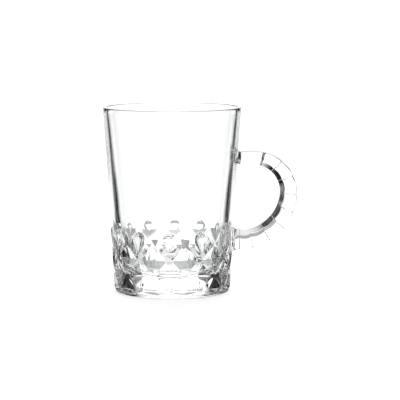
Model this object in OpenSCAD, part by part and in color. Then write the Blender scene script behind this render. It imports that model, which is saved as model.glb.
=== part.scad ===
// Small glass mug: a pressed bowl with a band of diamonds and drops, and a notched handle fused on at two
// weld pads. The mug stands on z = 0 around the Z axis, and the handle points along +X.

/* [Bowl] */
// Height from the table to the lip
mug_h = 100; // [95:0.5:105]
// Outer radius at the lip
lip_r = 37.4; // [37:0.1:38]
// Outer radius that the upper part of the wall leans towards
wall_high_r = 35.4; // [35:0.1:36]
// Outer radius that the lower part of the wall leans towards
wall_low_r = 34.9; // [34.3:0.1:35.3]
// Outer radius at the waist, where the plain wall meets the cut band
waist_r = 32.4; // [32:0.1:32.8]
// Radius of the lip's two rounded edges
lip_edge_r = 0.5; // [0.3:0.1:0.8]
// Inner radius at the lip
mouth_r = 35.1; // [34.6:0.1:35.4]
// Inner radius that the upper part of the cavity leans towards
neck_r = 32.1; // [31.6:0.1:32.5]
// Inner radius that the lower part of the cavity leans towards
hip_r = 29.1; // [28.4:0.1:29.4]
// Inner radius just above the rounded corner of the cavity
well_r = 26.6; // [25.8:0.1:27]
// Thickness of the base under the cavity
base_t = 11.5; // [10:0.5:13]
// Radius of the corner between the cavity's wall and floor
well_corner_r = 5; // [3:0.5:7]

/* [Cut band] */
// Height of the waist over the cut band
waist_z = 37.5; // [37:0.1:38.5]
// Outer radius that the upper part of the band leans towards
band_high_r = 32.9; // [32.6:0.1:33.2]
// Outer radius that the lower part of the band leans towards
band_low_r = 32.2; // [32:0.1:32.5]
// Outer radius of the foot
foot_r = 31.4; // [31:0.1:31.8]
// Radius of the rounded heel
heel_r = 2.2; // [1.5:0.1:3]
// Columns of cuts around the mug
columns = 12; // [12]
// Height of the crossings that stand under the drops
crossing_z = 20.7; // [20:0.1:21.5]
// Height from one row of crossings to the next
row_h = 8.5; // [8:0.1:9]
// Width of the plain bands left between the diamonds
land_w = 2.2; // [1.5:0.1:3]
// Depth of a diamond at its middle
diamond_d = 2.4; // [1.5:0.1:2.6]
// Depth of the diamonds that hold the drops
top_d = 0.8; // [0.6:0.1:1.6]
// Depth of the half diamonds that stand on the foot
foot_d = 1.2; // [1:0.1:2]
// Height of the short lower slope of those half diamonds
foot_slope_h = 1.2; // [0.8:0.1:1.5]
// Top of the raised drops
drop_top = 35.5; // [35:0.1:36]
// Pointed lower end of the raised drops
drop_tip = 25; // [24.5:0.1:26]
// Width of the round end of a drop
drop_w = 5.8; // [5:0.1:6.5]
// How far a drop stands out of the band
drop_h = 0.9; // [0.7:0.1:1.7]

/* [Handle] */
// Greatest reach of the handle from the mug's axis
handle_reach = 67.5; // [67:0.1:69]
// Height of the handle's widest point
handle_mid_z = 54.4; // [53:0.1:56]
// Radius of the upper bend along the handle's middle
upper_bend_r = 18.5; // [17.5:0.1:19]
// Radius of the lower bend along the handle's middle
lower_bend_r = 26.1; // [25.5:0.1:26.5]
// Thickness at the upper end, from the finger side to the outer side
upper_t = 7.4; // [7:0.1:8.5]
// Thickness at the lower end
lower_t = 11.4; // [10:0.1:12]
// Width of the handle across the loop
handle_w = 9; // [8:0.1:11]
// Bevel along the finger side, measured across the thickness
finger_bevel = 4.4; // [3:0.1:5]
// Bevel along the finger side, measured across the width
finger_narrow = 2.5; // [1.5:0.1:2.8]
// Small chamfer along the outer side
outer_chamfer = 0.8; // [0.3:0.1:1.5]
// Length of the plain block next to the upper pad
first_block = 12.6; // [11:0.1:14]
// Width of the notch at the end of that block
first_notch_w = 1.2; // [0.8:0.1:1.5]
// Depth of the notch at the end of that block
first_notch_d = 0.85; // [0.5:0.05:1]
// Spacing of the notches
notch_pitch = 8.4; // [7.5:0.1:9]
// Width of the other notches
notch_w = 0.5; // [0.4:0.1:1.2]
// Depth of the other notches
notch_d = 0.45; // [0.3:0.05:0.8]

/* [Weld pads] */
// Distance from the axis to the face where the handle meets the upper pad
upper_pad_x = 36.8; // [36.6:0.1:38]
// Distance from the axis to the face where the handle meets the lower pad
lower_pad_x = 36.6; // [35.5:0.1:37]
// How far a pad spreads past the handle all round
pad_spread = 1.1; // [0.5:0.1:1.5]

/* [Hidden] */
$fn = 96;

glass = [0.87, 0.92, 0.92, 0.45];
glass_weld = [0.80, 0.87, 0.87, 0.55];

// Control points of the bowl's curves, as radius and height: the band, the wall and the cavity.
lip_z = mug_h - lip_edge_r;
well_z = base_t + well_corner_r;
neck_share = 0.275;
hip_share = 0.64;
band_curve = [
  [foot_r, heel_r],
  [band_low_r, heel_r + (waist_z - heel_r) / 3],
  [band_high_r, heel_r + (waist_z - heel_r) * 2 / 3],
  [waist_r, waist_z]
];
wall_curve = [
  [waist_r, waist_z],
  [wall_low_r, waist_z + (lip_z - waist_z) / 3],
  [wall_high_r, waist_z + (lip_z - waist_z) * 2 / 3],
  [lip_r, lip_z]
];
cavity_curve = [
  [mouth_r, lip_z],
  [neck_r, lip_z - (lip_z - well_z) * neck_share],
  [hip_r, lip_z - (lip_z - well_z) * hip_share],
  [well_r, well_z]
];
curve_steps = 8;
lip_steps = 4;
corner_steps = 5;

// Sizes of the diamond lattice on the band.
column_angle = 360 / columns;
cell_half_w = PI * band_high_r / columns;
land_share = land_w / 2 * sqrt(1 / pow(cell_half_w, 2) + 1 / pow(row_h, 2));
cut_half_h = row_h * (1 - land_share);
cut_half_w = cell_half_w * (1 - land_share);
// A cut is drawn this many times its size, so that it starts well outside the glass.
cut_reach = 2.5;

// Rings of a drop's dome as shares of its outline, and the depth of its root in the glass.
drop_rings = [1, 0.75, 0.4];
drop_root = 2.2;
drop_steps = 8;

// Path of the handle's middle line, measured from the upper pad.
mean_t = (upper_t + lower_t) / 2;
bend_x = handle_reach - mean_t / 2;
upper_bend_x = bend_x - upper_bend_r;
lower_bend_x = bend_x - lower_bend_r;
arm_z = handle_mid_z + upper_bend_r;
tail_z = handle_mid_z - lower_bend_r;
arm_end = upper_bend_x - upper_pad_x;
upper_bend_end = arm_end + PI / 2 * upper_bend_r;
lower_bend_end = upper_bend_end + PI / 2 * lower_bend_r;
handle_len = lower_bend_end + lower_bend_x - lower_pad_x;
notch_count = round((handle_len - first_block) / notch_pitch);
notches = [for (i = [0 : notch_count - 1]) first_block + i * notch_pitch];
notch_widths = [for (i = [0 : notch_count - 1]) i == 0 ? first_notch_w : notch_w];
notch_depths = [for (i = [0 : notch_count - 1]) i == 0 ? first_notch_d : notch_d];
block_starts = concat([0], notches + notch_widths / 2);
block_ends = concat(notches - notch_widths / 2, [handle_len]);
block_steps = 5;

function bezier(p, t) =
  pow(1 - t, 3) * p[0] + 3 * t * pow(1 - t, 2) * p[1] + 3 * t * t * (1 - t) * p[2] + pow(t, 3) * p[3];

function curve_points(p) = [for (i = [0 : curve_steps]) bezier(p, i / curve_steps)];

function arc_points(centre, r, from, to, steps) =
  [for (i = [0 : steps]) let (a = from + (to - from) * i / steps) centre + r * [cos(a), sin(a)]];

function middle(points) = [for (p = points) 1] * points / len(points);

// Radius of the band's surface at a height. The band's curve rises evenly, so its share is the height's.
function band_at(z) = bezier(band_curve, (z - heel_r) / (waist_z - heel_r))[0];

// Point of the band's surface at a distance along its curve from the column's middle, sunk by a depth.
function on_band(across, z, depth = 0) =
  let (a = across / band_at(z) * 180 / PI, r = band_at(z) - depth) [r * cos(a), r * sin(a), z];

// Outline of the mug's outer side, from the middle of its base to the top of its wall.
outer_outline = concat(
  [[0, 0]],
  arc_points([foot_r - heel_r, heel_r], heel_r, -90, -90 / corner_steps, corner_steps - 1),
  curve_points(band_curve),
  [for (i = [1 : curve_steps]) bezier(wall_curve, i / curve_steps)]
);

// Outline of the lip and the cavity, from the wall's top to the middle of the floor.
inner_outline = concat(
  arc_points([lip_r - lip_edge_r, lip_z], lip_edge_r, 90 / lip_steps, 90, lip_steps - 1),
  arc_points([mouth_r + lip_edge_r, lip_z], lip_edge_r, 90, 180 - 90 / lip_steps, lip_steps - 1),
  curve_points(cavity_curve),
  arc_points([well_r - well_corner_r, well_z], well_corner_r, -90 / corner_steps, -90, corner_steps - 1),
  [[0, base_t]]
);

// Middle line of the handle at a path length, as x and z.
function handle_line(s) =
  s < arm_end ? [upper_pad_x + s, arm_z]
  : s < upper_bend_end ? [upper_bend_x, handle_mid_z] + upper_bend_r * handle_out(s)
  : s < lower_bend_end ? [lower_bend_x, handle_mid_z] + lower_bend_r * handle_out(s)
  : [lower_bend_x + lower_bend_end - s, tail_z];

// Direction away from the fingers at a path length, as x and z.
function handle_out(s) =
  let (
    turned = s < arm_end ? 0
      : s < upper_bend_end ? (s - arm_end) / upper_bend_r
      : s < lower_bend_end ? PI / 2 + (s - upper_bend_end) / lower_bend_r
      : PI
  ) [sin(turned * 180 / PI), cos(turned * 180 / PI)];

// Thickness of the handle at a path length.
function thickness_at(s) = upper_t + (lower_t - upper_t) * s / handle_len;

// Cross-section of the handle: away from the fingers along x, the width along y.
function handle_section(t, w) =
  let (side = w / 2, outer = t / 2) [
    [outer, outer_chamfer - side], [outer, side - outer_chamfer],
    [outer - outer_chamfer, side], [finger_bevel - outer, side],
    [-outer, side - finger_narrow], [-outer, finger_narrow - side],
    [finger_bevel - outer, -side], [outer - outer_chamfer, -side]
  ];

// The handle's cross-section set in place at a path length, sunk all round by a depth.
function handle_ring(s, sink) =
  let (c = handle_line(s), out = handle_out(s))
  [for (p = handle_section(thickness_at(s) - 2 * sink, handle_w - 2 * sink))
    [c[0] + out[0] * p[0], p[1], c[1] + out[1] * p[0]]];

// Closed skin over rings of points, drawn together to a point at either end.
module skin(start, rings, end) {
  n = len(rings[0]);
  last = 1 + (len(rings) - 1) * n;
  polyhedron(
    points = concat([start], [for (ring = rings) each ring], [end]),
    faces = concat(
      [for (i = [0 : n - 1]) [0, 1 + (i + 1) % n, 1 + i]],
      [for (a = [1 : n : last - n], i = [0 : n - 1], far = [false, true])
        let (next = (i + 1) % n)
        far ? [a + i, a + n + next, a + n + i] : [a + i, a + next, a + n + next]],
      [for (i = [0 : n - 1]) [last + n, last + i, last + (i + 1) % n]]
    )
  );
}

// Mug without its cavity and its cuts.
module blank() {
  rotate_extrude()
    polygon(concat(outer_outline, [[lip_r - lip_edge_r, mug_h], [0, mug_h]]));
}

// Four facets sunk around a height. The slope under it has its own height.
module diamond_cut(z, depth, low_h) {
  deepest = on_band(0, z, depth);
  rim = [on_band(0, z + cut_half_h), on_band(cut_half_w, z), on_band(0, z - low_h), on_band(-cut_half_w, z)];
  outside = [for (p = rim) deepest + cut_reach * (p - deepest)];
  skin(deepest, [outside], middle(outside));
}

// Cuts of some columns of the band.
module band_cuts(first, last) {
  for (i = [first : last]) {
    rotate([0, 0, column_angle * i]) {
      diamond_cut(crossing_z + row_h, top_d, cut_half_h);
      diamond_cut(crossing_z - row_h, diamond_d, cut_half_h);
    }
    rotate([0, 0, column_angle * (i + 0.5)]) {
      diamond_cut(crossing_z, diamond_d, cut_half_h);
      diamond_cut(crossing_z - 2 * row_h, foot_d, foot_slope_h);
    }
  }
}

// Raised dome with a round end that narrows to a point below.
module drop() {
  r = drop_w / 2;
  centre = [0, drop_top - r];
  flank = asin(r / (centre[1] - drop_tip));
  outline = concat(arc_points(centre, r, 180 + flank, -flank, drop_steps), [[0, drop_tip]]);
  domed = [for (share = drop_rings) [for (p = outline)
    let (q = centre + share * (p - centre)) on_band(q[0], q[1], -drop_h * (1 - share * share))]];
  rooted = [for (p = outline) on_band(p[0], p[1], drop_root)];
  skin(on_band(0, centre[1], drop_root), concat([rooted], domed), on_band(0, centre[1], -drop_h));
}

// Block of weld glass that runs from inside the bowl to the end of the handle.
module weld_block(face_x, z, t, finger_side) {
  translate([well_r, 0, z])
    rotate([0, 90, 0])
      rotate([0, 0, finger_side])
        linear_extrude(face_x - well_r)
          polygon(handle_section(t + 2 * pad_spread, handle_w + 2 * pad_spread));
}

// The column behind the lower pad has no drop.
module bowl() {
  color(glass) {
    difference() {
      rotate_extrude()
        polygon(concat(outer_outline, inner_outline));
      band_cuts(0, columns - 1);
    }
    for (i = [1 : columns - 1])
      rotate([0, 0, column_angle * i])
        drop();
  }
}

module handle() {
  rings = [for (i = [0 : notch_count]) each concat(
    [for (k = [0 : block_steps])
      handle_ring(block_starts[i] + (block_ends[i] - block_starts[i]) * k / block_steps, 0)],
    i < notch_count ? [handle_ring(notches[i], notch_depths[i])] : []
  )];
  color(glass)
    skin(middle(rings[0]), rings, middle(rings[len(rings) - 1]));
}

module upper_weld_pad() {
  color(glass_weld)
    difference() {
      weld_block(upper_pad_x, arm_z, upper_t, 180);
      blank();
    }
}

module lower_weld_pad() {
  color(glass_weld)
    difference() {
      weld_block(lower_pad_x, tail_z, lower_t, 0);
      difference() {
        blank();
        band_cuts(-1, 0);
      }
    }
}

bowl();
handle();
upper_weld_pad();
lower_weld_pad();
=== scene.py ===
"""Looks of a small clear glass mug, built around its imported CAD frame.

The mug stands on z = 0 around the Z axis and its handle points along +X. Lengths are in metres.
"""

import math

import bmesh
import bpy
import numpy as np
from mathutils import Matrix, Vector


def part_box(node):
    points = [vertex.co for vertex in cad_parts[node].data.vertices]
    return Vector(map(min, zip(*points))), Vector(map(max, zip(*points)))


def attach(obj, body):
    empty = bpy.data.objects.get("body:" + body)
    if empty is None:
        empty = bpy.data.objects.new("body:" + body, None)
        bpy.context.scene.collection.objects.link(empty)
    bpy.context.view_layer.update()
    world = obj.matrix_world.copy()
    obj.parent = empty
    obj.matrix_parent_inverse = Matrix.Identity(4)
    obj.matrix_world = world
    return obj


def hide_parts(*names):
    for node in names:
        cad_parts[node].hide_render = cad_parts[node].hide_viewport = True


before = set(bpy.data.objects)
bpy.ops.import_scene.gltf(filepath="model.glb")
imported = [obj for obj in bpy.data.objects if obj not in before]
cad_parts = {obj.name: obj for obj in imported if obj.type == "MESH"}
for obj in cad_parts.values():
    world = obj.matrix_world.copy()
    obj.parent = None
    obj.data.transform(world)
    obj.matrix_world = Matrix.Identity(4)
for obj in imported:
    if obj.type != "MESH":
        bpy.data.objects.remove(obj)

bl_info = {
    "name": "Glass mug",
    "version": (1, 0, 0),
    "blender": (4, 5, 0),
    "location": "View3D > Sidebar > Glass mug",
    "description": "Builds a clear glass mug with a band of diamonds and drops and a notched handle",
    "category": "Add Mesh",
}

MM = 0.001
# Share of a quarter circle's radius at which a cubic curve's handles stand.
QUARTER_CIRCLE = 0.5523
# Distance under which the points of neighbouring copies are merged.
MERGE = 0.01 * MM
# Decimal places of a metre to which points are compared.
PLACES = 7
# Half of the floor's width, and how far it lies under the mug.
FLOOR_HALF = 4
FLOOR_GAP = 0.02 * MM
# Mesh steps of the bowl's base, its rounded edges, its cavity's wall, corner and floor.
BASE_STEPS = 3
EDGE_STEPS = 6
CAVITY_STEPS = 28
WELL_STEPS = 8
FLOOR_STEPS = 5
# Share of the radius of the base and of the floor where their rows of mesh begin round the middle.
HUB_SHARE = 0.15
# Mesh steps along a block of the handle, along each bend of its path and along a weld pad.
BLOCK_STEPS = 13
BEND_STEPS = 64
PAD_STEPS = 8
# Sizes of the rings of mesh on a pad's face towards the bowl, as shares of its outline.
PAD_RINGS = (0.2, 0.4, 0.6, 0.8, 1)


def length(name, description, mm):
    """A length property with its default given in millimetres."""
    return bpy.props.FloatProperty(
        name=name, description=description, default=mm * MM, precision=5, unit="LENGTH", subtype="DISTANCE"
    )


def degrees(name, description, value):
    """An angle property with its default given in degrees."""
    return bpy.props.FloatProperty(
        name=name, description=description, default=math.radians(value), unit="ROTATION", subtype="ANGLE"
    )


def level(name, description, value):
    """A plain number property."""
    return bpy.props.FloatProperty(name=name, description=description, default=value)


def count(name, description, value):
    """A whole number property."""
    return bpy.props.IntProperty(name=name, description=description, default=value, min=1)


class GlassMugBowl(bpy.types.PropertyGroup):
    """Sizes of the bowl and its cut band."""

    mouth_r: length("Mouth radius", "Inner radius at the lip", 35.1)
    lip_edge_r: length("Lip edge", "Radius of the lip's two rounded edges", 0.5)
    neck_r: length("Neck radius", "Radius that the upper part of the cavity leans towards", 32.1)
    neck_share: level("Neck share", "How far down the cavity the neck stands", 0.275)
    hip_r: length("Hip radius", "Radius that the lower part of the cavity leans towards", 29.1)
    hip_share: level("Hip share", "How far down the cavity the hip stands", 0.64)
    well_r: length("Well radius", "Inner radius just above the corner of the cavity", 26.6)
    base_t: length("Base thickness", "Glass under the cavity", 11.5)
    well_corner_r: length("Well corner", "Radius between the cavity's wall and floor", 5)
    wall_high_r: length("Upper wall radius", "Radius that the upper part of the wall leans towards", 35.4)
    wall_low_r: length("Lower wall radius", "Radius that the lower part of the wall leans towards", 34.9)
    waist_r: length("Waist radius", "Outer radius where the wall meets the cut band", 32.4)
    waist_z: length("Waist height", "Height of the waist over the cut band", 37.5)
    band_high_r: length("Upper band radius", "Radius that the upper part of the band leans towards", 32.9)
    band_low_r: length("Lower band radius", "Radius that the lower part of the band leans towards", 32.2)
    foot_r: length("Foot radius", "Outer radius just over the heel", 31.4)
    heel_r: length("Heel radius", "Radius of the rounded heel", 2.2)
    crossing_z: length("Crossing height", "Height of the crossings under the drops", 20.7)
    row_h: length("Row height", "Height from one row of crossings to the next", 8.5)
    land_w: length("Land width", "Width of the plain bands between the diamonds", 2.2)
    diamond_d: length("Diamond depth", "Depth of a diamond at its middle", 2.4)
    top_d: length("Top depth", "Depth of the diamonds round the drops", 0.8)
    foot_d: length("Foot depth", "Depth of the half diamonds on the foot", 1.2)
    foot_slope_h: length("Foot slope", "Height of the lower slope of the half diamonds on the foot", 1.2)
    drop_top: length("Drop top", "Height of a drop's round end", 35.5)
    drop_tip: length("Drop tip", "Height of a drop's pointed end", 25)
    drop_w: length("Drop width", "Width of a drop's round end", 5.8)
    drop_h: length("Drop height", "How far a drop stands out of the band", 0.9)
    edge_soft: length("Edge softness", "Depth over which fire polish rounds the cut edges", 0.06)
    edge_w: length("Edge width", "Width of the strips of mesh on both sides of a cut edge", 0.2)
    band_step: length("Band step", "Height of the band's mesh rows", 0.4)
    sharp_angle: degrees("Sharp angle", "Angle from which an edge stays sharp", 18)
    columns: count("Columns", "Columns of cuts around the mug", 12)


class GlassMugHandle(bpy.types.PropertyGroup):
    """Sizes of the handle's blocks and of the notches between them."""

    mid_z: length("Widest height", "Height of the handle's widest point", 54.4)
    finger_bevel: length("Finger bevel", "Bevel along the finger side in the middle of a block", 4.4)
    finger_slope: degrees("Finger slope", "Slope of that bevel from the handle's sides", 30)
    pillow: length("Pillow", "Depth by which a block's sides fall off to its ends", 0.25)
    outer_chamfer: length("Outer chamfer", "Chamfer along the outer side", 0.8)
    edge_r: length("Edge rounding", "Rounding of the long edges", 0.4)
    first_block: length("First block", "Length of the block next to the upper pad", 12.6)
    notch_pitch: length("Notch pitch", "Spacing of the notches", 8.4)
    notch_w: length("Notch width", "Width of a notch", 0.45)
    notch_d: length("Notch depth", "Depth of a notch", 0.2)
    first_notch_w: length("First notch width", "Width of the notches beside the first block", 1.2)
    first_notch_d: length("First notch depth", "Depth of the notches beside the first block", 0.85)
    sharp_angle: degrees("Sharp angle", "Angle from which an edge stays sharp", 18)
    weld_share: level("Weld share", "Share of the handle's section that is fused through", 0.7)


class GlassMugStage(bpy.types.PropertyGroup):
    """Camera and light."""

    camera_far: length("Camera distance", "Level distance from the mug's axis to the camera", 1000)
    camera_high: length("Camera height", "Height of the camera over the table", 166)
    camera_turn: degrees("Camera turn", "Angle round the mug towards the handle", 2.7)
    camera_tilt: degrees("Camera tilt", "Angle that the camera looks down", 6.65)
    camera_aside: degrees("Camera aside", "Angle from the mug's axis to the middle of the picture", 0.862)
    lens: level("Lens", "Focal length in millimetres on a 36 mm sensor", 167.4)
    window_half: degrees("Window half width", "Half the width of the even part of the window behind", 22)
    window_fade: degrees("Window fade", "Angle at which the window behind has faded out", 34)
    side_fade: degrees("Side fade", "Angle at which a side window begins", 54)
    side_full: degrees("Side full", "Angle at which a side window is even", 66)
    side_level: level("Side level", "Share of the window's light that a side window gives", 0.4)
    side_top_start: degrees("Side top start", "Angle at which a side window begins to fade upwards", -2)
    side_top: degrees("Side top", "Angle at which a side window has faded upwards", 8)
    sink_start: degrees("Sink start", "Angle at which the table begins to darken the windows", -12)
    sink_end: degrees("Sink end", "Angle at which the table has darkened the windows", -21)
    sink_level: level("Sink level", "Share of a window's light that the table gives back", 0.3)
    strip_turn: degrees("Strip turn", "Angle between the bright strips of the table", 45)
    strip_half: degrees("Strip half", "Half of a strip's full width", 7.5)
    strip_fade: degrees("Strip fade", "Angle from its middle where a strip ends", 12)
    strip_start: degrees("Strip start", "Rise where the strips start", -12.4)
    strip_full: degrees("Strip full", "Rise where the strips are full", -15.4)
    strip_end: degrees("Strip end", "Rise down to which the strips are full", -19)
    strip_gone: degrees("Strip gone", "Rise where the strips have ended", -22)
    strip_level: level("Strip level", "Light of the strips", 0.85)
    table_start: degrees("Table start", "Angle at which the lit table to the front and sides begins", -15)
    table_full: degrees("Table full", "Angle at which the lit table is even", -19)
    table_level: level("Table level", "Share of a window's light that the table at the sides gives", 0.05)
    shade_half: degrees("Shade half width", "Half the width of the unlit table behind the mug", 26)
    shade_fade: degrees("Shade fade", "Angle at which the table is lit again", 40)
    front_start: degrees("Front start", "Angle at which the brighter table in front begins", 155)
    front_full: degrees("Front full", "Angle at which the table in front is even", 168)
    front_level: level("Front level", "Share of a window's light that the table in front gives", 0.7)
    front_dim: level("Front dim", "Share of their light that the window and the strip in front give", 0.7)
    near_start: degrees("Near start", "Angle at which the white table close behind the mug begins", -24)
    near_full: degrees("Near full", "Angle at which the table close behind the mug is even", -29)
    near_level: level("Near level", "Share of a window's light that the table close behind gives", 0.65)
    under_start: degrees("Under start", "Angle at which the white table under the mug begins", -50)
    under_full: degrees("Under full", "Angle at which the table under the mug is even", -62)
    over_start: degrees("Overhead start", "Angle at which the light overhead begins", 45)
    over_full: degrees("Overhead full", "Angle at which the light overhead is even", 75)
    window_level: level("Window level", "Radiance of the windows", 1.3)
    room_level: level("Room level", "Radiance of the room between the windows", 0)
    floor_level: level("Floor level", "Radiance that the floor gives the camera by itself", 0.6)


class GlassMugSettings(bpy.types.PropertyGroup):
    """All settings of the mug."""

    bowl: bpy.props.PointerProperty(type=GlassMugBowl)
    handle: bpy.props.PointerProperty(type=GlassMugHandle)
    stage: bpy.props.PointerProperty(type=GlassMugStage)


def add_node(tree, kind, inputs=None, **settings):
    """Adds a node, sets its options and fills its inputs from values or from other nodes' outputs."""
    node = tree.nodes.new(kind)
    for name, value in settings.items():
        setattr(node, name, value)
    for key, value in (inputs or {}).items():
        if isinstance(value, bpy.types.NodeSocket):
            tree.links.new(value, node.inputs[key])
        else:
            node.inputs[key].default_value = value
    return node


def linear(hex_colour):
    """Linear RGBA from an sRGB hex colour."""
    channels = [int(hex_colour[i : i + 2], 16) / 255 for i in (1, 3, 5)]
    return [c / 12.92 if c <= 0.04045 else ((c + 0.055) / 1.055) ** 2.4 for c in channels] + [1]


def new_material(name):
    """An empty node material and its tree."""
    material = bpy.data.materials.new(name)
    material.use_nodes = True
    material.node_tree.nodes.clear()
    return material, material.node_tree


def pressed_glass(name):
    """Fire-polished pressed soda-lime glass: clear, bright and very slightly wavy from the mould."""
    material, tree = new_material(name)
    place = add_node(tree, "ShaderNodeTexCoord").outputs["Object"]
    wave = add_node(tree, "ShaderNodeTexNoise", {"Vector": place, "Scale": 90, "Detail": 1})
    bump = add_node(
        tree, "ShaderNodeBump", {"Height": wave.outputs["Fac"], "Strength": 0.05, "Distance": 0.2 * MM}
    )
    glass = add_node(
        tree,
        "ShaderNodeBsdfPrincipled",
        {
            "Base Color": linear("#FDFEFE"),
            "Roughness": 0.0,
            "IOR": 1.52,
            "Transmission Weight": 1.0,
            "Normal": bump.outputs["Normal"],
        },
    )
    add_node(tree, "ShaderNodeOutputMaterial", {"Surface": glass.outputs["BSDF"]})
    return material


def fused_glass(name):
    """Face where two pieces of glass are fused: the glass runs on, so there is nothing to see."""
    material, tree = new_material(name)
    glass = add_node(
        tree, "ShaderNodeBsdfPrincipled", {"Base Color": linear("#FFFFFF"), "Roughness": 0.0, "Alpha": 0.0}
    )
    add_node(tree, "ShaderNodeOutputMaterial", {"Surface": glass.outputs["BSDF"]})
    return material


def material_from(make):
    """The material that a function makes, made on first use."""
    return bpy.data.materials.get(make.__name__) or make(make.__name__)


def mesh_object(name, points, faces):
    """A new object in the scene from points and faces."""
    mesh = bpy.data.meshes.new(name)
    mesh.from_pydata([tuple(p) for p in points], [], [tuple(f) for f in faces])
    mesh.update()
    made = bpy.data.objects.new(name, mesh)
    bpy.context.scene.collection.objects.link(made)
    return made


def keep_shape(piece, tree, values, helpers):
    """Runs a node tree on a piece, keeps the resulting plain mesh and deletes the helper objects."""
    modifier = piece.modifiers.new("shape", "NODES")
    modifier.node_group = tree
    names = {item.name: item.identifier for item in tree.interface.items_tree if item.in_out == "INPUT"}
    for name, value in values.items():
        modifier[names[name]] = value
    graph = bpy.context.evaluated_depsgraph_get()
    mesh = bpy.data.meshes.new_from_object(piece.evaluated_get(graph))
    piece.modifiers.remove(modifier)
    piece.data = mesh
    mesh.name = piece.name
    for helper in helpers:
        bpy.data.objects.remove(helper)


def new_tree(name, inputs):
    """A geometry node tree with named inputs. Returns the tree and the outputs of its input node."""
    tree = bpy.data.node_groups.new(name, "GeometryNodeTree")
    tree.interface.new_socket("Geometry", in_out="INPUT", socket_type="NodeSocketGeometry")
    for label, kind in inputs.items():
        tree.interface.new_socket(label, in_out="INPUT", socket_type=f"NodeSocket{kind}")
    tree.interface.new_socket("Geometry", in_out="OUTPUT", socket_type="NodeSocketGeometry")
    return tree, tree.nodes.new("NodeGroupInput").outputs


def finish_piece(piece):
    """Ties a piece to the frame: it rides on the body and stands for the CAD node of its name."""
    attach(piece, "root")
    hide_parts(piece.name.removesuffix("_looks"))


def arc(centre, r, start, end, steps):
    """Points of an arc, with its angles in degrees."""
    turn = np.radians(np.linspace(start, end, steps + 1))
    return np.stack([centre[0] + r * np.cos(turn), centre[1] + r * np.sin(turn)], axis=1)


def bezier(controls, t):
    """Values of a cubic curve at shares from its start to its end."""
    p = np.array(controls)
    return (1 - t) ** 3 * p[0] + 3 * t * (1 - t) ** 2 * p[1] + 3 * t * t * (1 - t) * p[2] + t**3 * p[3]


def soft_min(a, b, soft):
    """The smaller of two heights, with the edge between them rounded."""
    near = np.maximum(soft - np.abs(a - b), 0) / soft
    return np.minimum(a, b) - near * near * soft / 4


def soft_max(a, b, soft):
    """The larger of two heights, with the valley between them rounded."""
    return -soft_min(-a, -b, soft)


def rounded(corners, r, steps=4, most=0.3, support=1.4):
    """Closed outline with rounded corners. A rounding takes at most a share of a side.

    Points a little beyond each rounding keep the flats flat.
    """
    points = []
    corners = np.array(corners)
    for i, corner in enumerate(corners):
        ways = [corners[i - 1] - corner, corners[(i + 1) % len(corners)] - corner]
        sides = [np.linalg.norm(way) for way in ways]
        reach = min(r, *(most * side for side in sides))
        start, end = [corner + way / side * reach for way, side in zip(ways, sides)]
        points.append(corner + (start - corner) * support)
        for t in np.linspace(0, 1, steps + 1):
            points.append((1 - t) ** 2 * start + 2 * t * (1 - t) * corner + t * t * end)
        points.append(corner + (end - corner) * support)
    return np.array(points)


def skin(rings, start=None, end=None):
    """Points and faces over rings of points, closed to a point at an end where one is given."""
    across = len(rings[0])
    points = np.concatenate(rings)
    faces = []
    for at in range(0, len(points) - across, across):
        for i in range(across):
            after = (i + 1) % across
            faces.append((at + i, at + after, at + across + after, at + across + i))
    last = len(points) - across
    for tip, first, step in ((start, 0, -1), (end, last, 1)):
        if tip is not None:
            faces += [(len(points), first + i, first + (i + step) % across) for i in range(across)]
            points = np.concatenate([points, [tip]])
    return points, faces


def frame_sizes():
    """The sizes that the CAD nodes' boxes give."""
    bowl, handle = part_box("bowl"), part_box("handle")
    upper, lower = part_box("upper_weld_pad"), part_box("lower_weld_pad")
    spread = upper[1].y - handle[1].y
    return {
        "mug_h": bowl[1].z,
        "lip_r": bowl[1].y,
        "reach": handle[1].x,
        "width": 2 * handle[1].y,
        "spread": spread,
        "upper_x": upper[1].x,
        "lower_x": lower[1].x,
        "arm_z": (upper[0].z + upper[1].z) / 2,
        "tail_z": (lower[0].z + lower[1].z) / 2,
        "upper_t": upper[1].z - upper[0].z - 2 * spread,
        "lower_t": lower[1].z - lower[0].z - 2 * spread,
    }


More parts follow.
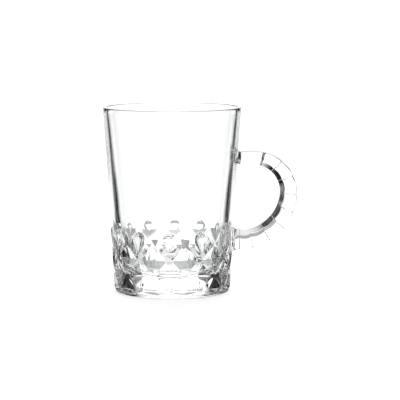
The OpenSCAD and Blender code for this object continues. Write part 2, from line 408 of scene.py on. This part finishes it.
class Band:
    """The outer side of the bowl as a radius at each angle and height."""

    # Mesh steps between the mesh lines that follow the edges of the drop, the middle cuts and the side cuts.
    line_steps = (6, 1, 1, 3, 1, 1, 3, 1, 1, 3)
    # Mesh rows of the wall.
    wall_rows = 24
    # Places across half a column where an edge is looked for.
    search_steps = 600
    # Steps towards the surface when a point on it is looked for.
    surface_steps = 4
    # How many of its heights a drop reaches into the glass.
    drop_root = 4

    def __init__(self, bowl, sizes):
        self.b = bowl
        self.half = math.pi / bowl.columns
        self.lip_z = sizes["mug_h"] - bowl.lip_edge_r
        self.wall = [bowl.waist_r, bowl.wall_low_r, bowl.wall_high_r, sizes["lip_r"]]
        half_w = self.half * bowl.band_high_r
        land = bowl.land_w / 2 * math.hypot(1 / half_w, 1 / bowl.row_h)
        self.cut_w = half_w * (1 - land)
        self.cut_h = bowl.row_h * (1 - land)
        creases = [bowl.crossing_z + row * bowl.row_h for row in (-2, -1, 0, 1)]
        keys = [bowl.heel_r, *creases, bowl.waist_z]
        rows = [
            np.linspace(low, high, round((high - low) / bowl.band_step), endpoint=False)
            for low, high in zip(keys, keys[1:])
        ]
        self.rows = np.concatenate([*rows, np.linspace(bowl.waist_z, self.lip_z, self.wall_rows)])

    def plain(self, z):
        """Radius without any cuts."""
        b = self.b
        band = [b.foot_r, b.band_low_r, b.band_high_r, b.waist_r]
        low = bezier(band, np.clip((z - b.heel_r) / (b.waist_z - b.heel_r), 0, 1))
        high = bezier(self.wall, np.clip((z - b.waist_z) / (self.lip_z - b.waist_z), 0, 1))
        return np.where(z < b.waist_z, low, high)

    def point(self, angle, across, z, depth=0.0):
        """Point of the band's surface beside a column's angle, sunk by a depth."""
        r = float(self.plain(z))
        a = angle + across / r
        return np.array([(r - depth) * math.cos(a), (r - depth) * math.sin(a), z])

    def diamond(self, turn, z, column, middle, depth, low_h):
        """Radius of four facets sunk around a height."""
        deep = self.point(column, 0, middle, depth)
        rim = [
            self.point(column, 0, middle + self.cut_h),
            self.point(column, self.cut_w, middle),
            self.point(column, 0, middle - low_h),
            self.point(column, -self.cut_w, middle),
        ]
        radius = None
        for i in range(4):
            normal = np.cross(rim[i] - deep, rim[i - 1] - deep)
            facet = (normal @ deep - normal[2] * z) / (normal[0] * np.cos(turn) + normal[1] * np.sin(turn))
            radius = facet if radius is None else soft_max(radius, facet, self.b.edge_soft)
        return radius

    def drop(self, turn, z):
        """Radius of the raised drop in the column's middle: a round end that narrows to a point below."""
        b = self.b
        r = b.drop_w / 2
        middle = b.drop_top - r
        flank = math.asin(r / (middle - b.drop_tip))
        joint = middle - r * math.sin(flank)
        across = self.plain(z) * turn
        ball = 1 - (across**2 + (z - middle) ** 2) / r**2
        # Under its tip the drop has no width, and a very small one keeps the division whole.
        share = np.maximum((z - b.drop_tip) / (joint - b.drop_tip), 1e-6)
        half = share * r * math.cos(flank)
        point = math.cos(flank) ** 2 * share * (1 - (across / half) ** 2)
        return self.plain(z) + b.drop_h * np.maximum(np.where(z > joint, ball, point), -self.drop_root)

    def middle_cuts(self, turn, z):
        """Radii of the two diamonds in the column's middle."""
        b = self.b
        return [
            self.diamond(turn, z, 0, b.crossing_z + b.row_h, b.top_d, self.cut_h),
            self.diamond(turn, z, 0, b.crossing_z - b.row_h, b.diamond_d, self.cut_h),
        ]

    def side_cuts(self, turn, z, side):
        """Radii of the diamond and the half diamond on a side of the column."""
        b = self.b
        return [
            self.diamond(turn, z, side, b.crossing_z, b.diamond_d, self.cut_h),
            self.diamond(turn, z, side, b.crossing_z - 2 * b.row_h, b.foot_d, b.foot_slope_h),
        ]

    def cut(self, turn, z, drop):
        """Radius with the cuts of one column, at angles from its middle."""
        soft = self.b.edge_soft
        radius = self.plain(z) + 0 * turn
        sides = [self.side_cuts(turn, z, side) for side in (-self.half, self.half)]
        for one in (*self.middle_cuts(turn, z), *sides[0], *sides[1]):
            radius = soft_min(radius, one, soft)
        return soft_max(radius, self.drop(turn, z), 2 * soft) if drop else radius

    def lines(self, z, drop):
        """Angles of the mesh lines across a column at each height. They follow the edges of the cuts."""
        half = self.half
        gap = self.b.edge_w / self.b.waist_r
        turn = np.linspace(0, half, self.search_steps)[None, :]
        plain = self.plain(z)
        in_middle = np.minimum(*self.middle_cuts(turn, z)) < plain
        at_side = np.minimum(*self.side_cuts(turn, z, half)) < plain
        in_drop = (self.drop(turn, z) > self.cut(turn, z, False)) & drop
        drop_edge = np.where(in_drop, turn, 0).max(axis=1)
        middle_edge = np.where(in_middle, turn, 0).max(axis=1)
        side_edge = np.where(at_side, turn, half).min(axis=1)
        # The edges keep clear of each other, so that no step between two lines is empty.
        drop_edge = np.clip(drop_edge, 2 * gap, half - 8 * gap)
        middle_edge = np.clip(middle_edge, drop_edge + 3 * gap, half - 5 * gap)
        side_edge = np.clip(side_edge, middle_edge + 3 * gap, half - 2 * gap)
        knots = [0 * drop_edge]
        for edge in (drop_edge, middle_edge, side_edge):
            knots += [edge - gap, edge, edge + gap]
        knots.append(half + 0 * drop_edge)
        lines = [
            start + (end - start) * k / steps
            for start, end, steps in zip(knots, knots[1:], self.line_steps)
            for k in range(steps)
        ]
        lines = np.stack([*lines, knots[-1]], axis=1)
        return np.concatenate([-lines[:, :0:-1], lines], axis=1)

    def handle_side(self, y, z):
        """Points of the surface on the handle's side at places across and up."""
        r = self.plain(z)
        for _ in range(self.surface_steps):
            r = self.cut(np.arcsin(y / r), z, False)
        return np.stack([np.sqrt(r * r - y * y), y, z], axis=-1)


def sector(name, band, sizes, drop, pads):
    """One column of the bowl from the middle of its base round the lip to the middle of its floor."""
    b = band.b
    base = np.linspace(HUB_SHARE, 1, BASE_STEPS + 1)[:, None] * np.array([[b.foot_r - b.heel_r, 0]])
    heel = arc((b.foot_r - b.heel_r, b.heel_r), b.heel_r, -90, 0, EDGE_STEPS)[1:-1]
    lip = np.concatenate(
        [
            arc((sizes["lip_r"] - b.lip_edge_r, band.lip_z), b.lip_edge_r, 0, 90, EDGE_STEPS)[1:],
            arc((b.mouth_r + b.lip_edge_r, band.lip_z), b.lip_edge_r, 90, 180, EDGE_STEPS),
        ]
    )
    corner = (b.well_r - b.well_corner_r, b.base_t + b.well_corner_r)
    well = arc(corner, b.well_corner_r, 0, -90, WELL_STEPS)
    depth = band.lip_z - well[0, 1]
    inner = bezier(
        [
            lip[-1],
            [b.neck_r, band.lip_z - depth * b.neck_share],
            [b.hip_r, band.lip_z - depth * b.hip_share],
            well[0],
        ],
        np.linspace(0, 1, CAVITY_STEPS + 1)[1:-1, None],
    )
    floor = np.linspace(1, HUB_SHARE, FLOOR_STEPS + 1)[1:, None] * well[-1]
    floor[:, 1] = b.base_t
    below = np.concatenate([base, heel])
    above = np.concatenate([lip, inner, well, floor])
    outer = band.rows[:, None]
    cut_lines = band.lines(outer, drop)
    even = np.linspace(-band.half, band.half, cut_lines.shape[1])[None, :]
    # The lines spread out evenly over the wall.
    spread = np.clip((outer - b.waist_z) / b.row_h, 0, 1)
    outer_turn = cut_lines * (1 - spread) + even * spread
    turn = np.concatenate([even + 0 * below[:, :1], outer_turn, even + 0 * above[:, :1]])
    heights = np.concatenate([below[:, 1:], outer, above[:, 1:]])
    radius = np.concatenate(
        [below[:, :1] + 0 * even, band.cut(outer_turn, outer, drop), above[:, :1] + 0 * even]
    )
    points = np.stack([radius * np.cos(turn), radius * np.sin(turn), heights + 0 * turn], axis=-1)
    rows, across = turn.shape
    faces, fused = [], []
    for i in range(rows - 1):
        outside = len(below) <= i < len(below) + len(outer) - 1
        for k in range(across - 1):
            at = i * across + k
            faces.append((at, at + 1, at + across + 1, at + across))
            y, z = ((points[i, k] + points[i + 1, k + 1]) / 2)[1:]
            on_pad = [abs(y) < pad["half_w"] and abs(z - pad["z"]) < pad["half_t"] for pad in pads]
            fused.append(outside and any(on_pad))
    points = np.concatenate([points.reshape(-1, 3), [[0, 0, 0], [0, 0, b.base_t]]])
    bottom, top = len(points) - 2, len(points) - 1
    last = (rows - 1) * across
    for k in range(across - 1):
        faces.append((bottom, k + 1, k))
        faces.append((top, last + k, last + k + 1))
        fused += [False, False]
    made = mesh_object(name, points, faces)
    made.data.attributes.new("fused", "BOOLEAN", "FACE").data.foreach_set("value", fused)
    return made


def keep_creases(tree, shape, angle):
    """Nodes that shade a shape smooth except over edges sharper than an angle."""
    smooth = add_node(tree, "GeometryNodeSetShadeSmooth", {"Geometry": shape})
    found = add_node(tree, "GeometryNodeInputMeshEdgeAngle").outputs["Unsigned Angle"]
    crease = add_node(tree, "FunctionNodeCompare", {"A": found, "B": angle}, operation="GREATER_THAN")
    crisp = add_node(
        tree,
        "GeometryNodeSetShadeSmooth",
        {"Geometry": smooth.outputs[0], "Selection": crease.outputs["Result"], "Shade Smooth": False},
        domain="EDGE",
    )
    return crisp.outputs[0]


def ring_tree():
    """Node tree that turns the columns of the bowl around its axis."""
    tree, given = new_tree(
        "columns around the axis",
        {
            "Cut column": "Object",
            "Handle column": "Object",
            "Columns": "Int",
            "Sharp angle": "Float",
            "Glass": "Material",
            "Fused": "Material",
        },
    )
    points = add_node(tree, "GeometryNodePoints", {"Count": given["Columns"]}).outputs[0]
    index = add_node(tree, "GeometryNodeInputIndex").outputs["Index"]
    share = add_node(tree, "ShaderNodeMath", {0: index, 1: given["Columns"]}, operation="DIVIDE")
    turn = add_node(tree, "ShaderNodeMath", {0: share.outputs[0], 1: 2 * math.pi}, operation="MULTIPLY")
    rotation = add_node(tree, "ShaderNodeCombineXYZ", {"Z": turn.outputs[0]}).outputs["Vector"]
    first = add_node(
        tree, "FunctionNodeCompare", {"A": index, "B": 1}, operation="LESS_THAN"
    ).outputs["Result"]
    others = add_node(tree, "FunctionNodeBooleanMath", {0: first}, operation="NOT").outputs[0]
    join = add_node(tree, "GeometryNodeJoinGeometry")
    for label, chosen in (("Cut column", others), ("Handle column", first)):
        column = add_node(tree, "GeometryNodeObjectInfo", {"Object": given[label]}).outputs["Geometry"]
        copies = add_node(
            tree,
            "GeometryNodeInstanceOnPoints",
            {"Points": points, "Selection": chosen, "Instance": column, "Rotation": rotation},
        )
        tree.links.new(copies.outputs["Instances"], join.inputs[0])
    real = add_node(tree, "GeometryNodeRealizeInstances", {"Geometry": join.outputs[0]})
    merged = add_node(tree, "GeometryNodeMergeByDistance", {"Geometry": real.outputs[0], "Distance": MERGE})
    crisp = keep_creases(tree, merged.outputs[0], given["Sharp angle"])
    fused = add_node(tree, "GeometryNodeInputNamedAttribute", {"Name": "fused"}, data_type="BOOLEAN")
    glass = add_node(tree, "GeometryNodeSetMaterial", {"Geometry": crisp, "Material": given["Glass"]})
    patch = add_node(
        tree,
        "GeometryNodeSetMaterial",
        {"Geometry": glass.outputs[0], "Selection": fused.outputs["Attribute"], "Material": given["Fused"]},
    )
    add_node(tree, "NodeGroupOutput", {"Geometry": patch.outputs[0]})
    return tree


def handle_section(handle, sizes, sink):
    """Outline of the handle across and outwards, with its sides and its outer side sunk."""
    slope = math.tan(handle.finger_slope)
    side = sizes["width"] / 2
    outer = (sizes["upper_t"] + sizes["lower_t"]) / 4
    # The finger bevel stays one plane, so sunk sides meet it lower. Only a spread foot grows to the fingers.
    finger = -outer + min(sink, 0)
    half = [
        (side - handle.finger_bevel * slope - min(sink, 0), finger),
        (side - sink, handle.finger_bevel - sink / slope - outer),
        (side - sink, outer - sink - handle.outer_chamfer),
        (side - sink - handle.outer_chamfer, outer - sink),
    ]
    return rounded(half + [(-y, z) for y, z in reversed(half)], handle.edge_r)


def block(name, handle, sizes, block_len, start, end):
    """One straight block of the handle. Its notches are pairs of a distance from its end and a depth."""
    ends = [*start, *[(block_len - x, depth) for x, depth in reversed(end)]]
    places, depths = np.transpose(ends)
    middle = np.linspace(places[len(start) - 1], places[len(start)], BLOCK_STEPS + 1)
    rings = []
    for x in np.unique(np.concatenate([places, middle])):
        pillow = handle.pillow * (1 - math.sin(math.pi * x / block_len))
        outline = handle_section(handle, sizes, np.interp(x, places, depths) + pillow)
        rings.append(np.column_stack([np.full(len(outline), x), outline]))
    return mesh_object(name, *skin(rings))


def handle_path(handle, sizes):
    """Middle line of the handle from its upper to its lower end, as a curve object."""
    bend_x = sizes["reach"] - (sizes["upper_t"] + sizes["lower_t"]) / 4
    upper_r = sizes["arm_z"] - handle.mid_z
    lower_r = handle.mid_z - sizes["tail_z"]
    # Place on the path, its direction, and the reach of the curve before and after it.
    stops = [
        ((sizes["upper_x"], sizes["arm_z"]), (1, 0), 0, 0),
        ((bend_x - upper_r, sizes["arm_z"]), (1, 0), 0, upper_r),
        ((bend_x, handle.mid_z), (0, -1), upper_r, lower_r),
        ((bend_x - lower_r, sizes["tail_z"]), (-1, 0), lower_r, 0),
        ((sizes["lower_x"], sizes["tail_z"]), (-1, 0), 0, 0),
    ]
    data = bpy.data.curves.new("handle_path", "CURVE")
    data.dimensions = "3D"
    spline = data.splines.new("BEZIER")
    spline.resolution_u = BEND_STEPS
    spline.bezier_points.add(len(stops) - 1)
    for point, (place, way, before, after) in zip(spline.bezier_points, stops):
        place, way = [Vector((pair[0], 0, pair[1])) for pair in (place, way)]
        point.handle_left_type = point.handle_right_type = "FREE"
        point.co = place
        point.handle_left = place - way * before * QUARTER_CIRCLE
        point.handle_right = place + way * after * QUARTER_CIRCLE
    path = bpy.data.objects.new("handle_path", data)
    bpy.context.scene.collection.objects.link(path)
    return path, sum(spline.calc_length() for spline in data.splines)


def blocks_tree():
    """Node tree that sets blocks in a row and bends the row along a path."""
    tree, given = new_tree(
        "blocks along a path",
        {
            "First block": "Object",
            "Block": "Object",
            "Last block": "Object",
            "Path": "Object",
            "Blocks": "Int",
            "First length": "Float",
            "Pitch": "Float",
            "Length": "Float",
            "Upper scale": "Float",
            "Lower scale": "Float",
            "Sharp angle": "Float",
            "Glass": "Material",
        },
    )
    index = add_node(tree, "GeometryNodeInputIndex").outputs["Index"]
    last = add_node(tree, "ShaderNodeMath", {0: given["Blocks"], 1: 1}, operation="SUBTRACT").outputs[0]
    is_first = add_node(
        tree, "FunctionNodeCompare", {"A": index, "B": 1}, operation="LESS_THAN"
    ).outputs["Result"]
    is_last = add_node(
        tree, "FunctionNodeCompare", {"A": index, "B": last}, operation="GREATER_EQUAL"
    ).outputs["Result"]
    is_between = add_node(
        tree, "FunctionNodeBooleanMath", {0: is_first, 1: is_last}, operation="NOR"
    ).outputs[0]
    before = add_node(tree, "ShaderNodeMath", {0: index, 1: 1}, operation="SUBTRACT").outputs[0]
    along = add_node(
        tree,
        "ShaderNodeMath",
        {0: before, 1: given["Pitch"], 2: given["First length"]},
        operation="MULTIPLY_ADD",
    ).outputs[0]
    after_first = add_node(tree, "ShaderNodeMath", {0: index, 1: 0}, operation="GREATER_THAN").outputs[0]
    start = add_node(tree, "ShaderNodeMath", {0: along, 1: after_first}, operation="MULTIPLY").outputs[0]
    place = add_node(tree, "ShaderNodeCombineXYZ", {"X": start}).outputs["Vector"]
    points = add_node(tree, "GeometryNodePoints", {"Count": given["Blocks"], "Position": place}).outputs[0]
    join = add_node(tree, "GeometryNodeJoinGeometry")
    for label, chosen in (("First block", is_first), ("Block", is_between), ("Last block", is_last)):
        one = add_node(tree, "GeometryNodeObjectInfo", {"Object": given[label]}).outputs["Geometry"]
        copies = add_node(
            tree, "GeometryNodeInstanceOnPoints", {"Points": points, "Selection": chosen, "Instance": one}
        )
        tree.links.new(copies.outputs["Instances"], join.inputs[0])
    real = add_node(tree, "GeometryNodeRealizeInstances", {"Geometry": join.outputs[0]})
    merged = add_node(tree, "GeometryNodeMergeByDistance", {"Geometry": real.outputs[0], "Distance": MERGE})
    row = add_node(
        tree, "ShaderNodeSeparateXYZ", {0: add_node(tree, "GeometryNodeInputPosition").outputs[0]}
    ).outputs
    path = add_node(tree, "GeometryNodeObjectInfo", {"Object": given["Path"]}).outputs["Geometry"]
    line = add_node(
        tree, "GeometryNodeSampleCurve", {"Curves": path, "Length": row["X"]}, mode="LENGTH"
    ).outputs
    outwards = add_node(
        tree, "ShaderNodeVectorMath", {0: line["Tangent"], 1: (0, 1, 0)}, operation="CROSS_PRODUCT"
    ).outputs[0]
    swell = add_node(
        tree,
        "ShaderNodeMapRange",
        {
            "Value": row["X"],
            "From Max": given["Length"],
            "To Min": given["Upper scale"],
            "To Max": given["Lower scale"],
        },
    ).outputs[0]
    rise = add_node(tree, "ShaderNodeMath", {0: row["Z"], 1: swell}, operation="MULTIPLY").outputs[0]
    out = add_node(tree, "ShaderNodeVectorMath", {0: outwards, "Scale": rise}, operation="SCALE").outputs[0]
    aside = add_node(tree, "ShaderNodeCombineXYZ", {"Y": row["Y"]}).outputs["Vector"]
    offset = add_node(tree, "ShaderNodeVectorMath", {0: out, 1: aside}, operation="ADD").outputs[0]
    bent = add_node(tree, "ShaderNodeVectorMath", {0: line["Position"], 1: offset}, operation="ADD")
    placed = add_node(
        tree, "GeometryNodeSetPosition", {"Geometry": merged.outputs[0], "Position": bent.outputs[0]}
    )
    crisp = keep_creases(tree, placed.outputs[0], given["Sharp angle"])
    glass = add_node(tree, "GeometryNodeSetMaterial", {"Geometry": crisp, "Material": given["Glass"]})
    add_node(tree, "NodeGroupOutput", {"Geometry": glass.outputs[0]})
    return tree


def close_ends(piece, cap):
    """Closes the open ends of a piece with faces of another material."""
    piece.data.materials.append(cap)
    shape = bmesh.new()
    shape.from_mesh(piece.data)
    ends = [edge for edge in shape.edges if edge.is_boundary]
    for face in bmesh.ops.holes_fill(shape, edges=ends)["faces"]:
        face.material_index = 1
    shape.to_mesh(piece.data)
    shape.free()


def notches(handle):
    """Half of a notch beside the first block and half of a usual one, as distances and depths."""
    first = [(0, handle.first_notch_d), (handle.first_notch_w / 2, 0)]
    usual = [(0, handle.notch_d), (handle.notch_w / 2, 0)]
    return first, usual


def pads(handle, sizes):
    """The two weld pads: where each stands, its face towards the handle, and which way is outwards."""
    mean = (sizes["upper_t"] + sizes["lower_t"]) / 2
    first, usual = notches(handle)
    found = []
    for name, height, out in (("upper", "arm_z", 1), ("lower", "tail_z", -1)):
        thickness = sizes[f"{name}_t"]
        found.append(
            {
                "name": f"{name}_weld_pad_looks",
                "z": sizes[height],
                "face_x": sizes[f"{name}_x"],
                "out": out * thickness / mean,
                "half_w": sizes["width"] / 2 * handle.weld_share,
                "half_t": thickness / 2 * handle.weld_share,
                "notch": first if name == "upper" else usual,
            }
        )
    return found


def weld_pad(pad, band, handle, sizes):
    """Pad that flares from the end of the handle onto the bowl, with fused faces at both ends."""
    foot = handle_section(handle, sizes, -sizes["spread"])
    (_, depth), (slope, _) = pad["notch"]
    on_bowl = [
        band.handle_side(share * foot[:, 0], pad["z"] + share * pad["out"] * foot[:, 1])
        for share in PAD_RINGS
    ]
    rings = list(on_bowl)
    for t in np.linspace(0, 1, PAD_STEPS + 1)[1:]:
        sink = handle.pillow * t - sizes["spread"] * (1 - t) ** 2
        outline = handle_section(handle, sizes, sink)
        x = on_bowl[-1][:, 0] * (1 - t) + (pad["face_x"] - slope) * t
        rings.append(np.column_stack([x, outline[:, 0], pad["z"] + pad["out"] * outline[:, 1]]))
    neck = handle_section(handle, sizes, depth + handle.pillow)
    face = np.full(len(neck), pad["face_x"])
    rings.append(np.column_stack([face, neck[:, 0], pad["z"] + pad["out"] * neck[:, 1]]))
    tips = [band.handle_side(np.array([0.0]), np.array([pad["z"]]))[0], [pad["face_x"], 0, pad["z"]]]
    if pad["out"] < 0:
        rings.reverse()
        tips.reverse()
    piece = mesh_object(pad["name"], *skin(rings, *tips))
    piece.data.materials.append(material_from(pressed_glass))
    piece.data.materials.append(material_from(fused_glass))
    inner = np.concatenate([*on_bowl[:-1], tips])
    inside = {tuple(point) for point in np.round(inner, PLACES)}
    for face in piece.data.polygons:
        face.use_smooth = True
        corners = [tuple(np.round(piece.data.vertices[i].co, PLACES)) for i in face.vertices]
        face.material_index = int(any(corner in inside for corner in corners))
    return piece


class GLASSMUG_OT_bowl(bpy.types.Operator):
    """Builds the bowl: one cut column repeated around the axis"""

    bl_idname = "glass_mug.bowl"
    bl_label = "Bowl"

    def execute(self, context):
        settings = context.scene.glass_mug
        bowl = settings.bowl
        sizes = frame_sizes()
        band = Band(bowl, sizes)
        cut = sector("cut_column", band, sizes, True, [])
        plain = sector("handle_column", band, sizes, False, pads(settings.handle, sizes))
        piece = mesh_object("bowl_looks", [], [])
        values = {
            "Cut column": cut,
            "Handle column": plain,
            "Columns": bowl.columns,
            "Sharp angle": bowl.sharp_angle,
            "Glass": material_from(pressed_glass),
            "Fused": material_from(fused_glass),
        }
        keep_shape(piece, ring_tree(), values, [cut, plain])
        finish_piece(piece)
        return {"FINISHED"}


class GLASSMUG_OT_handle(bpy.types.Operator):
    """Builds the handle: blocks in a row, bent along its path"""

    bl_idname = "glass_mug.handle"
    bl_label = "Handle"

    def execute(self, context):
        handle = context.scene.glass_mug.handle
        sizes = frame_sizes()
        path, path_len = handle_path(handle, sizes)
        pitch = handle.notch_pitch
        between = round((path_len - handle.first_block) / pitch) - 1
        last = path_len - handle.first_block - between * pitch
        first, usual = notches(handle)
        # The first block holds the whole of its second wide notch, so that the next block can be a usual one.
        wide = [(0, handle.notch_d), *[(x + handle.first_notch_w / 2, depth) for x, depth in first]]
        blocks = {
            "First block": block("first_block", handle, sizes, handle.first_block, first, wide),
            "Block": block("block", handle, sizes, pitch, usual, usual),
            "Last block": block("last_block", handle, sizes, last, usual, usual),
        }
        mean = (sizes["upper_t"] + sizes["lower_t"]) / 2
        values = {
            **blocks,
            "Path": path,
            "Blocks": between + 2,
            "First length": handle.first_block,
            "Pitch": pitch,
            "Length": path_len,
            "Upper scale": sizes["upper_t"] / mean,
            "Lower scale": sizes["lower_t"] / mean,
            "Sharp angle": handle.sharp_angle,
            "Glass": material_from(pressed_glass),
        }
        piece = mesh_object("handle_looks", [], [])
        keep_shape(piece, blocks_tree(), values, [*blocks.values(), path])
        close_ends(piece, material_from(fused_glass))
        finish_piece(piece)
        return {"FINISHED"}


class GLASSMUG_OT_weld_pads(bpy.types.Operator):
    """Builds the two pads that fuse the handle to the bowl"""

    bl_idname = "glass_mug.weld_pads"
    bl_label = "Weld pads"

    def execute(self, context):
        settings = context.scene.glass_mug
        sizes = frame_sizes()
        band = Band(settings.bowl, sizes)
        for pad in pads(settings.handle, sizes):
            finish_piece(weld_pad(pad, band, settings.handle, sizes))
        return {"FINISHED"}


class GLASSMUG_OT_stage(bpy.types.Operator):
    """Sets the floor, the light and the camera"""

    bl_idname = "glass_mug.stage"
    bl_label = "Stage"

    def execute(self, context):
        scene = context.scene
        stage = scene.glass_mug.stage
        self.floor(stage)
        scene.world = self.world(stage)
        data = bpy.data.cameras.new("camera")
        data.lens = stage.lens
        data.sensor_width = 36
        data.clip_start, data.clip_end = 0.01, 100
        camera = bpy.data.objects.new("camera", data)
        scene.collection.objects.link(camera)
        camera.location = (
            stage.camera_far * math.sin(stage.camera_turn),
            -stage.camera_far * math.cos(stage.camera_turn),
            stage.camera_high,
        )
        camera.rotation_euler = (math.pi / 2 - stage.camera_tilt, 0, stage.camera_turn - stage.camera_aside)
        scene.camera = camera
        scene.view_settings.view_transform = "Standard"
        scene.cycles.max_bounces = 32
        scene.cycles.transmission_bounces = 32
        scene.cycles.glossy_bounces = 16
        scene.cycles.use_denoising = True
        return {"FINISHED"}

    def floor(self, stage):
        """Plain white floor. It is left out of what the glass bends, which is the studio's light."""
        corners = [(x * FLOOR_HALF, y * FLOOR_HALF, 0) for x, y in ((-1, -1), (1, -1), (1, 1), (-1, 1))]
        floor = mesh_object("floor", corners, [(0, 1, 2, 3)])
        floor.location.z = -FLOOR_GAP
        floor.visible_transmission = False
        floor.visible_glossy = False
        material, tree = new_material("white_floor")
        white = add_node(
            tree,
            "ShaderNodeBsdfPrincipled",
            {
                "Base Color": linear("#F4F4F4"),
                "Roughness": 0.8,
                "Emission Color": linear("#FFFFFF"),
                "Emission Strength": stage.floor_level,
            },
        )
        add_node(tree, "ShaderNodeOutputMaterial", {"Surface": white.outputs["BSDF"]})
        floor.data.materials.append(material)

    def world(self, stage):
        """White studio: soft windows round the mug, a light overhead, and a dark room between them.

        The window in front is dimmer. The table is white under the mug, close behind it and in front of it.
        Elsewhere it is dark, with a bright strip every eighth of a turn.
        """
        world = bpy.data.worlds.new("studio")
        world.use_nodes = True
        tree = world.node_tree
        tree.nodes.clear()
        way = add_node(tree, "ShaderNodeTexCoord").outputs["Generated"]
        turned = add_node(
            tree,
            "ShaderNodeVectorRotate",
            {"Vector": way, "Angle": -stage.camera_turn},
            rotation_type="Z_AXIS",
        )
        place = add_node(tree, "ShaderNodeSeparateXYZ", {0: turned.outputs[0]}).outputs
        x, y = [
            add_node(tree, "ShaderNodeMath", {0: place[axis]}, operation="ABSOLUTE").outputs[0]
            for axis in "XY"
        ]
        rise = add_node(tree, "ShaderNodeMath", {0: place["Z"]}, operation="ARCSINE").outputs[0]
        away = add_node(tree, "ShaderNodeMath", {0: x, 1: place["Y"]}, operation="ARCTAN2").outputs[0]
        aside = add_node(tree, "ShaderNodeMath", {0: x, 1: y}, operation="ARCTAN2").outputs[0]
        fold = add_node(
            tree, "ShaderNodeMath", {0: away, 1: stage.strip_turn / 2}, operation="PINGPONG"
        ).outputs[0]
        ramps = {
            "window": (aside, stage.window_half, stage.window_fade, 1, 0),
            "side": (aside, stage.side_fade, stage.side_full, 0, stage.side_level),
            "low": (rise, stage.side_top_start, stage.side_top, 1, 0),
            "sink": (rise, stage.sink_start, stage.sink_end, 1, stage.sink_level),
            "strip": (fold, stage.strip_half, stage.strip_fade, 1, 0),
            "strip start": (rise, stage.strip_start, stage.strip_full, 0, 1),
            "strip end": (rise, stage.strip_end, stage.strip_gone, 1, 0),
            "beyond": (away, stage.shade_half, stage.shade_fade, 0, stage.strip_level),
            "table": (rise, stage.table_start, stage.table_full, 0, 1),
            "beside": (away, stage.shade_half, stage.shade_fade, 0, stage.table_level),
            "before": (away, stage.front_start, stage.front_full, 0, stage.front_level),
            "dim": (away, stage.front_start, stage.front_full, 1, stage.front_dim),
            "behind": (away, stage.shade_half, stage.shade_fade, 1, 0),
            "near": (rise, stage.near_start, stage.near_full, 0, stage.near_level),
            "under": (rise, stage.under_start, stage.under_full, 0, 1),
            "over": (rise, stage.over_start, stage.over_full, 0, 1),
        }
        parts = {}
        for name, (value, start, end, low, high) in ramps.items():
            parts[name] = add_node(
                tree,
                "ShaderNodeMapRange",
                {"Value": value, "From Min": start, "From Max": end, "To Min": low, "To Max": high},
                interpolation_type="SMOOTHSTEP",
            ).outputs[0]
        for name, first, how, second in (
            ("low side", "side", "MULTIPLY", "low"),
            ("windows", "window", "MAXIMUM", "low side"),
            ("upper", "windows", "MULTIPLY", "sink"),
            ("upper", "upper", "MULTIPLY", "dim"),
            ("upper", "upper", "MAXIMUM", "over"),
            ("strip", "strip", "MULTIPLY", "strip start"),
            ("strip", "strip", "MULTIPLY", "strip end"),
            ("strip", "strip", "MULTIPLY", "beyond"),
            ("strip", "strip", "MULTIPLY", "dim"),
            ("lit", "beside", "MAXIMUM", "before"),
            ("lit table", "table", "MULTIPLY", "lit"),
            ("near table", "near", "MULTIPLY", "behind"),
            ("lower", "lit table", "MAXIMUM", "near table"),
            ("lower", "lower", "MAXIMUM", "strip"),
            ("lower", "lower", "MAXIMUM", "under"),
            ("all", "upper", "MAXIMUM", "lower"),
        ):
            parts[name] = add_node(
                tree, "ShaderNodeMath", {0: parts[first], 1: parts[second]}, operation=how
            ).outputs[0]
        light = add_node(
            tree,
            "ShaderNodeMapRange",
            {"Value": parts["all"], "To Min": stage.room_level, "To Max": stage.window_level},
        ).outputs[0]
        ray = add_node(tree, "ShaderNodeLightPath").outputs["Is Camera Ray"]
        seen = add_node(tree, "ShaderNodeMath", {0: ray, 1: light}, operation="MAXIMUM").outputs[0]
        background = add_node(tree, "ShaderNodeBackground", {"Color": linear("#FFFFFF"), "Strength": seen})
        add_node(tree, "ShaderNodeOutputWorld", {"Surface": background.outputs[0]})
        return world


class GLASSMUG_PT_panel(bpy.types.Panel):
    """Lists the steps that build the mug"""

    bl_label = "Glass mug"
    bl_idname = "GLASSMUG_PT_panel"
    bl_space_type = "VIEW_3D"
    bl_region_type = "UI"
    bl_category = "Glass mug"

    def draw(self, context):
        for step in STEPS:
            self.layout.operator(step.bl_idname)


STEPS = (GLASSMUG_OT_bowl, GLASSMUG_OT_handle, GLASSMUG_OT_weld_pads, GLASSMUG_OT_stage)
GROUPS = (GlassMugBowl, GlassMugHandle, GlassMugStage, GlassMugSettings)


def register():
    for one in (*GROUPS, *STEPS, GLASSMUG_PT_panel):
        bpy.utils.register_class(one)
    bpy.types.Scene.glass_mug = bpy.props.PointerProperty(type=GlassMugSettings)


def unregister():
    del bpy.types.Scene.glass_mug
    for one in reversed((*GROUPS, *STEPS, GLASSMUG_PT_panel)):
        bpy.utils.unregister_class(one)


def main():
    register()
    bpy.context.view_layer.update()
    for step in STEPS:
        group, name = step.bl_idname.split(".")
        getattr(getattr(bpy.ops, group), name)()


if __name__ == "__main__":
    main()
